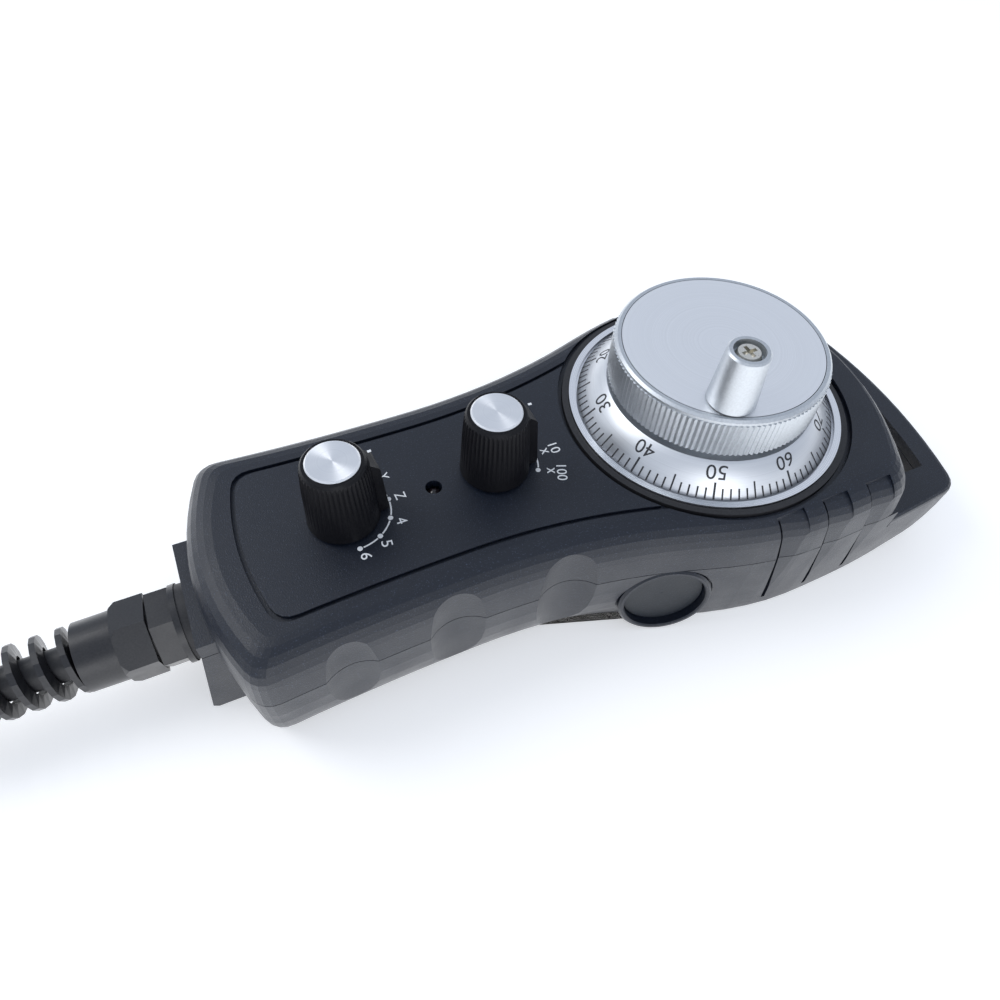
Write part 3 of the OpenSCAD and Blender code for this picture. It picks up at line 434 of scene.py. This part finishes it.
def selector_scale(name, place, dots, labels):
    """Dots round a selector, the arcs between them, and labels read with the hanger end up."""
    z = PANEL_TOP
    middle = (place[0] + SCALE_SHIFT[0], place[1] + SCALE_SHIFT[1])
    meshes = [disc(at(middle, SCALE_RADIUS, a), DOT_RADIUS, z) for a in dots]
    for a, b in zip(dots, dots[1:]):
        meshes.append(arc(middle, SCALE_RADIUS, ARC_WIDTH, a - DOT_GAP, b + DOT_GAP, z))
    for text, radius, degrees, height, width, turn in labels:
        spot = at(place, radius * MM, degrees)
        meshes.append(letters(text, spot, z, height * MM, width * MM, LABEL_TURN + turn))
    add_piece(name, join(meshes, name), WHITE, "housing")


# Dial

DIAL_R = 28.1 * MM
DIAL_NECK = 19.75 * MM
CONE_RISE = 5.6 * MM
CONE_SIDES = 192
CONE_EDGE = 0.3 * MM
CONE_OVERHANG = 0.1 * MM
SLOPE = math.sqrt(0.5)

DIVISION = 3.6
FIFTIETH_AT = -119.2
TICK_OUTER = 27.95 * MM
LONG_TICK_INNER = 24.5 * MM
TICK_INNER = 25.7 * MM
WIDE_TICK = 0.42 * MM
TICK_WIDTH = 0.34 * MM
NUMBER_RADIUS = 22.45 * MM
NUMBER_HEIGHT = 2.95 * MM
ONE_DIGIT = 1.8 * MM
TWO_DIGITS = 3.9 * MM


def add_dial():
    """The dial as a cone that rises at 45 degrees from the bezel ring to under the knurling."""
    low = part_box("graduated_dial")[0].z
    top = DIAL_TOP + CONE_RISE
    profile = [
        (DIAL_NECK, low),
        (DIAL_R, low),
        (DIAL_R, DIAL_TOP),
        (DIAL_R - CONE_RISE + CONE_EDGE, top - CONE_EDGE),
        (DIAL_R - CONE_RISE - CONE_OVERHANG, top),
        (DIAL_NECK, top),
    ]
    slope = 2
    shape = bmesh.new()
    rows = [
        [shape.verts.new((*at(WHEEL, r, 360 * i / CONE_SIDES), z)) for r, z in profile]
        for i in range(CONE_SIDES)
    ]
    for i in range(CONE_SIDES):
        row, after = rows[i], rows[(i + 1) % CONE_SIDES]
        for j in range(len(profile)):
            k = (j + 1) % len(profile)
            face = shape.faces.new((row[j], after[j], after[k], row[k]))
            face.smooth = j == slope
    mesh = bpy.data.meshes.new("dial_cone")
    shape.to_mesh(mesh)
    shape.free()
    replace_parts(add_piece("dial_cone", mesh, DIAL_METAL, "wheel"), "graduated_dial")


def onto_cone(mesh):
    """Lays marks drawn flat onto the cone; their radius becomes the way up the slope."""
    for v in mesh.vertices:
        flat = math.hypot(v.co.x, v.co.y)
        up, lift = (DIAL_R - flat) * SLOPE, (v.co.z - DIAL_TOP) * SLOPE
        radius = DIAL_R - up + lift
        v.co = Vector((v.co.x * radius / flat, v.co.y * radius / flat, DIAL_TOP + up + lift))
    return mesh


def mark_dial():
    """A hundred divisions, longer at every fifth and numbered at every tenth."""
    meshes = []
    for n in range(100):
        degrees = FIFTIETH_AT + (n - 50) * DIVISION
        inner = LONG_TICK_INNER if n % 5 == 0 else TICK_INNER
        width = WIDE_TICK if n % 10 == 0 else TICK_WIDTH
        meshes.append(bar(WHEEL, inner, TICK_OUTER, width, degrees, DIAL_TOP))
        if n % 10 == 0:
            place = at(WHEEL, NUMBER_RADIUS, degrees)
            width = TWO_DIGITS if n else ONE_DIGIT
            turn = degrees - 90
            meshes.append(letters(str(n), place, DIAL_TOP, NUMBER_HEIGHT, width, turn))
    add_piece("dial_marks", onto_cone(join(meshes, "dial_marks")), DARK, "wheel")


# Springs of the side buttons


def shorten_springs():
    """Each button's return spring gets a mesh of its own."""
    for joint in frame["record"]["behaviour"]["joints"]:
        for spring in joint.get("deforming_nodes", []):
            piece, axis = NODES[spring["node"]], Vector(joint["axis"])
            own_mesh(piece)


# Selector pointers

POINTER_DROP = 0.3 * MM
POINTER_INNER = 6.5 * MM
POINTER_OUTER = 7.2 * MM
POINTER_WIDTH = 0.5 * MM


def point_knob(node, place, degrees, body):
    """A short white line on the pointer of a knob, just under its top."""
    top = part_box(node)[1].z - POINTER_DROP
    mesh = bar(place, POINTER_INNER, POINTER_OUTER, POINTER_WIDTH, degrees, top)
    add_piece(node + "_line", mesh, WHITE, body)


# Cable

CABLE_D = 7 * MM

# From here to lay_cable() lengths are in millimetres.
CABLE_LOW = 4.3
ROUTE = [
    (-180, -0.2, 15.5),
    (-190, -1.9, 14),
    (-200, -5.3, 11),
    (-210, -9.7, 7.5),
    (-220, -14.8, 5),
    (-230, -20.2, 4.4),
    (-240, -25.3, 4.3),
    (-250, -29.7, 4.3),
    (-260, -33.1, 4.3),
    (-268, -34.6, 4.3),
]

# Each turn of the hank: the radius of its folds and its height.
HANK_X = -274
HANK_RUN = 58
HANK = [
    (35, 4.3),
    (28, 4.3),
    (21, 4.3),
    (24.5, 10.36),
    (31.5, 10.36),
    (35, 16.42),
    (28, 16.42),
    (21, 16.42),
    (24.5, 22.48),
    (31.5, 22.48),
]
TAIL = [
    (-267, 31.5, 23),
    (-260, 31.4, 23.5),
    (-252, 30.9, 23),
    (-244, 30, 20.8),
    (-236, 28.8, 17.2),
    (-228, 27.4, 12.8),
    (-221, 26.4, 9.4),
    (-215, 26, 7.7),
    (-210, 26, 7.5),
]
RUN_STEPS = 10
FOLD_STEPS = 18

TURN_GAP = 7.0
SETTLING_ROUNDS = 150
NEIGHBOURS = 6
HELD_POINTS = 8
GIVE = 0.25
SMOOTHING = 0.25


def hank_points():
    """Long turns beside and on each other; each steps over to the next in its near fold."""
    far, points = HANK_X - HANK_RUN, []
    for n, (r, z) in enumerate(HANK):
        points += [(HANK_X - HANK_RUN * i / RUN_STEPS, -r, z) for i in range(RUN_STEPS)]
        for i in range(FOLD_STEPS):
            angle = -math.pi / 2 - math.pi * i / FOLD_STEPS
            points.append((far + r * math.cos(angle), r * math.sin(angle), z))
        points += [(far + HANK_RUN * i / RUN_STEPS, r, z) for i in range(RUN_STEPS)]
        if n == len(HANK) - 1:
            return points + [(HANK_X, r, z)]
        next_r, next_z = HANK[n + 1]
        for i in range(FOLD_STEPS):
            angle, t = math.pi / 2 - math.pi * i / FOLD_STEPS, i / FOLD_STEPS
            eased = t**2 * (3 - 2 * t)
            q = r + (next_r - r) * eased
            x, y = HANK_X + q * math.cos(angle), q * math.sin(angle)
            points.append((x, y, z + (next_z - z) * eased))


def settled(points):
    """The turns pushed off each other where they cross, as they lie on each other when wound."""
    base = np.array(points)
    off = np.zeros_like(base)
    index = np.arange(len(base))
    others = np.abs(index[:, None] - index[None]) > NEIGHBOURS
    held = (index < HELD_POINTS) | (index >= len(base) - HELD_POINTS)
    free = np.where(held, 0, GIVE)
    for _ in range(SETTLING_ROUNDS):
        apart = (base + off)[:, None] - (base + off)[None]
        distance = np.linalg.norm(apart, axis=2)
        push = (TURN_GAP - distance) / np.maximum(distance, 0.01)
        short = np.where(others & (distance < TURN_GAP), push, 0)
        off += (apart * short[:, :, None]).sum(1) * free[:, None]
        off[1:-1] += SMOOTHING * (off[2:] + off[:-2] - 2 * off[1:-1])
        off[:, 2] = np.maximum(off[:, 2], CABLE_LOW - base[:, 2])
    return [tuple(p) for p in base + off]


def halved(points):
    """The same path with a point on its curve between each two."""
    out = [points[0]]
    for i in range(len(points) - 1):
        a, b = points[max(0, i - 1)], points[i]
        c, d = points[i + 1], points[min(len(points) - 1, i + 2)]
        out.append(tuple((9 * (q + r) - p - s) / 16 for p, q, r, s in zip(a, b, c, d)))
        out.append(c)
    return out


def lay_cable():
    """One cord from the gland through the hank to the plug."""
    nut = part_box("gland_nut")
    exit_point = (nut[0].x, 0, (nut[0].z + nut[1].z) / 2)
    start = tuple(c / MM for c in exit_point)
    points = settled(halved([start] + ROUTE) + hank_points() + halved(TAIL))
    data = bpy.data.curves.new("cord", "CURVE")
    data.dimensions = "3D"
    data.bevel_depth = CABLE_D / 2
    data.bevel_resolution = 5
    data.use_fill_caps = True
    spline = data.splines.new("POLY")
    spline.points.add(len(points) - 1)
    for point, place in zip(spline.points, points):
        point.co = (*(c * MM for c in place), 1)
    spline.use_smooth = True
    data.materials.append(JACKET)
    cord = bpy.data.objects.new("cord", data)
    bpy.context.scene.collection.objects.link(cord)
    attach(cord, "housing")
    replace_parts(cord, "cable", "cable_coil", "cable_tail")


# Room

FLOOR_HALF = 6.0
FLOOR_SEEN = 0.4
FLOOR_IN_REFLECTIONS = 0.9
SKY = (0.84, 0.92, 1.06, 1)
SKY_STRENGTH = 0.72
LIT_POINT = (-0.03, 0, 0.02)


def add_floor():
    """White paper, which glows a little so that it stays white to the camera and in reflections."""
    shape = bmesh.new()
    bmesh.ops.create_grid(shape, x_segments=2, y_segments=2, size=FLOOR_HALF)
    mesh = bpy.data.meshes.new("floor")
    shape.to_mesh(mesh)
    shape.free()
    floor = bpy.data.objects.new("floor", mesh)
    bpy.context.scene.collection.objects.link(floor)
    m = Nodes("floor_paper", Roughness=0.9)
    m.colour(m.noise(0.4, 2), (0.3, (0.80, 0.80, 0.80)), (0.7, (0.82, 0.82, 0.82)))
    path = m.tree.nodes.new("ShaderNodeLightPath")
    direct = m.math("MAXIMUM", path.outputs["Is Camera Ray"], path.outputs["Is Transmission Ray"])
    seen = m.math("MULTIPLY", direct, FLOOR_SEEN)
    mirrored = m.math("MULTIPLY", path.outputs["Is Glossy Ray"], FLOOR_IN_REFLECTIONS)
    m.shader.inputs["Emission Color"].default_value = (1, 1, 1, 1)
    m.link(m.math("ADD", seen, mirrored), m.shader.inputs["Emission Strength"])
    mesh.materials.append(m.material)


def add_light(name, place, size, power):
    """A round soft light, aimed at the pendant."""
    data = bpy.data.lights.new(name, "AREA")
    data.shape = "DISK"
    data.size = size
    data.energy = power
    light = bpy.data.objects.new(name, data)
    light.location = place
    aim = Vector(LIT_POINT) - Vector(place)
    light.rotation_euler = aim.to_track_quat("-Z", "Y").to_euler()
    bpy.context.scene.collection.objects.link(light)


def add_room():
    add_floor()
    world = bpy.data.worlds.new("studio")
    world.use_nodes = True
    background = world.node_tree.nodes["Background"]
    background.inputs["Color"].default_value = SKY
    background.inputs["Strength"].default_value = SKY_STRENGTH
    bpy.context.scene.world = world
    add_light("key", (-0.55, 0.35, 0.6), size=0.5, power=2.5)
    add_light("fill", (-0.2, -0.85, 0.25), size=0.6, power=2)


add_camera()
lay_cable()
dress_nodes()
selector_scale("axis_scale", AXIS, AXIS_DOTS, AXIS_LABELS)
selector_scale("multiplier_scale", MULTIPLIER, MULTIPLIER_DOTS, MULTIPLIER_LABELS)
add_dial()
mark_dial()
shorten_springs()
point_knob("axis_knob", AXIS, 3, "axis_selector")
point_knob("multiplier_knob", MULTIPLIER, 0, "multiplier_selector")
add_room()
bpy.context.scene.view_settings.view_transform = "Standard"
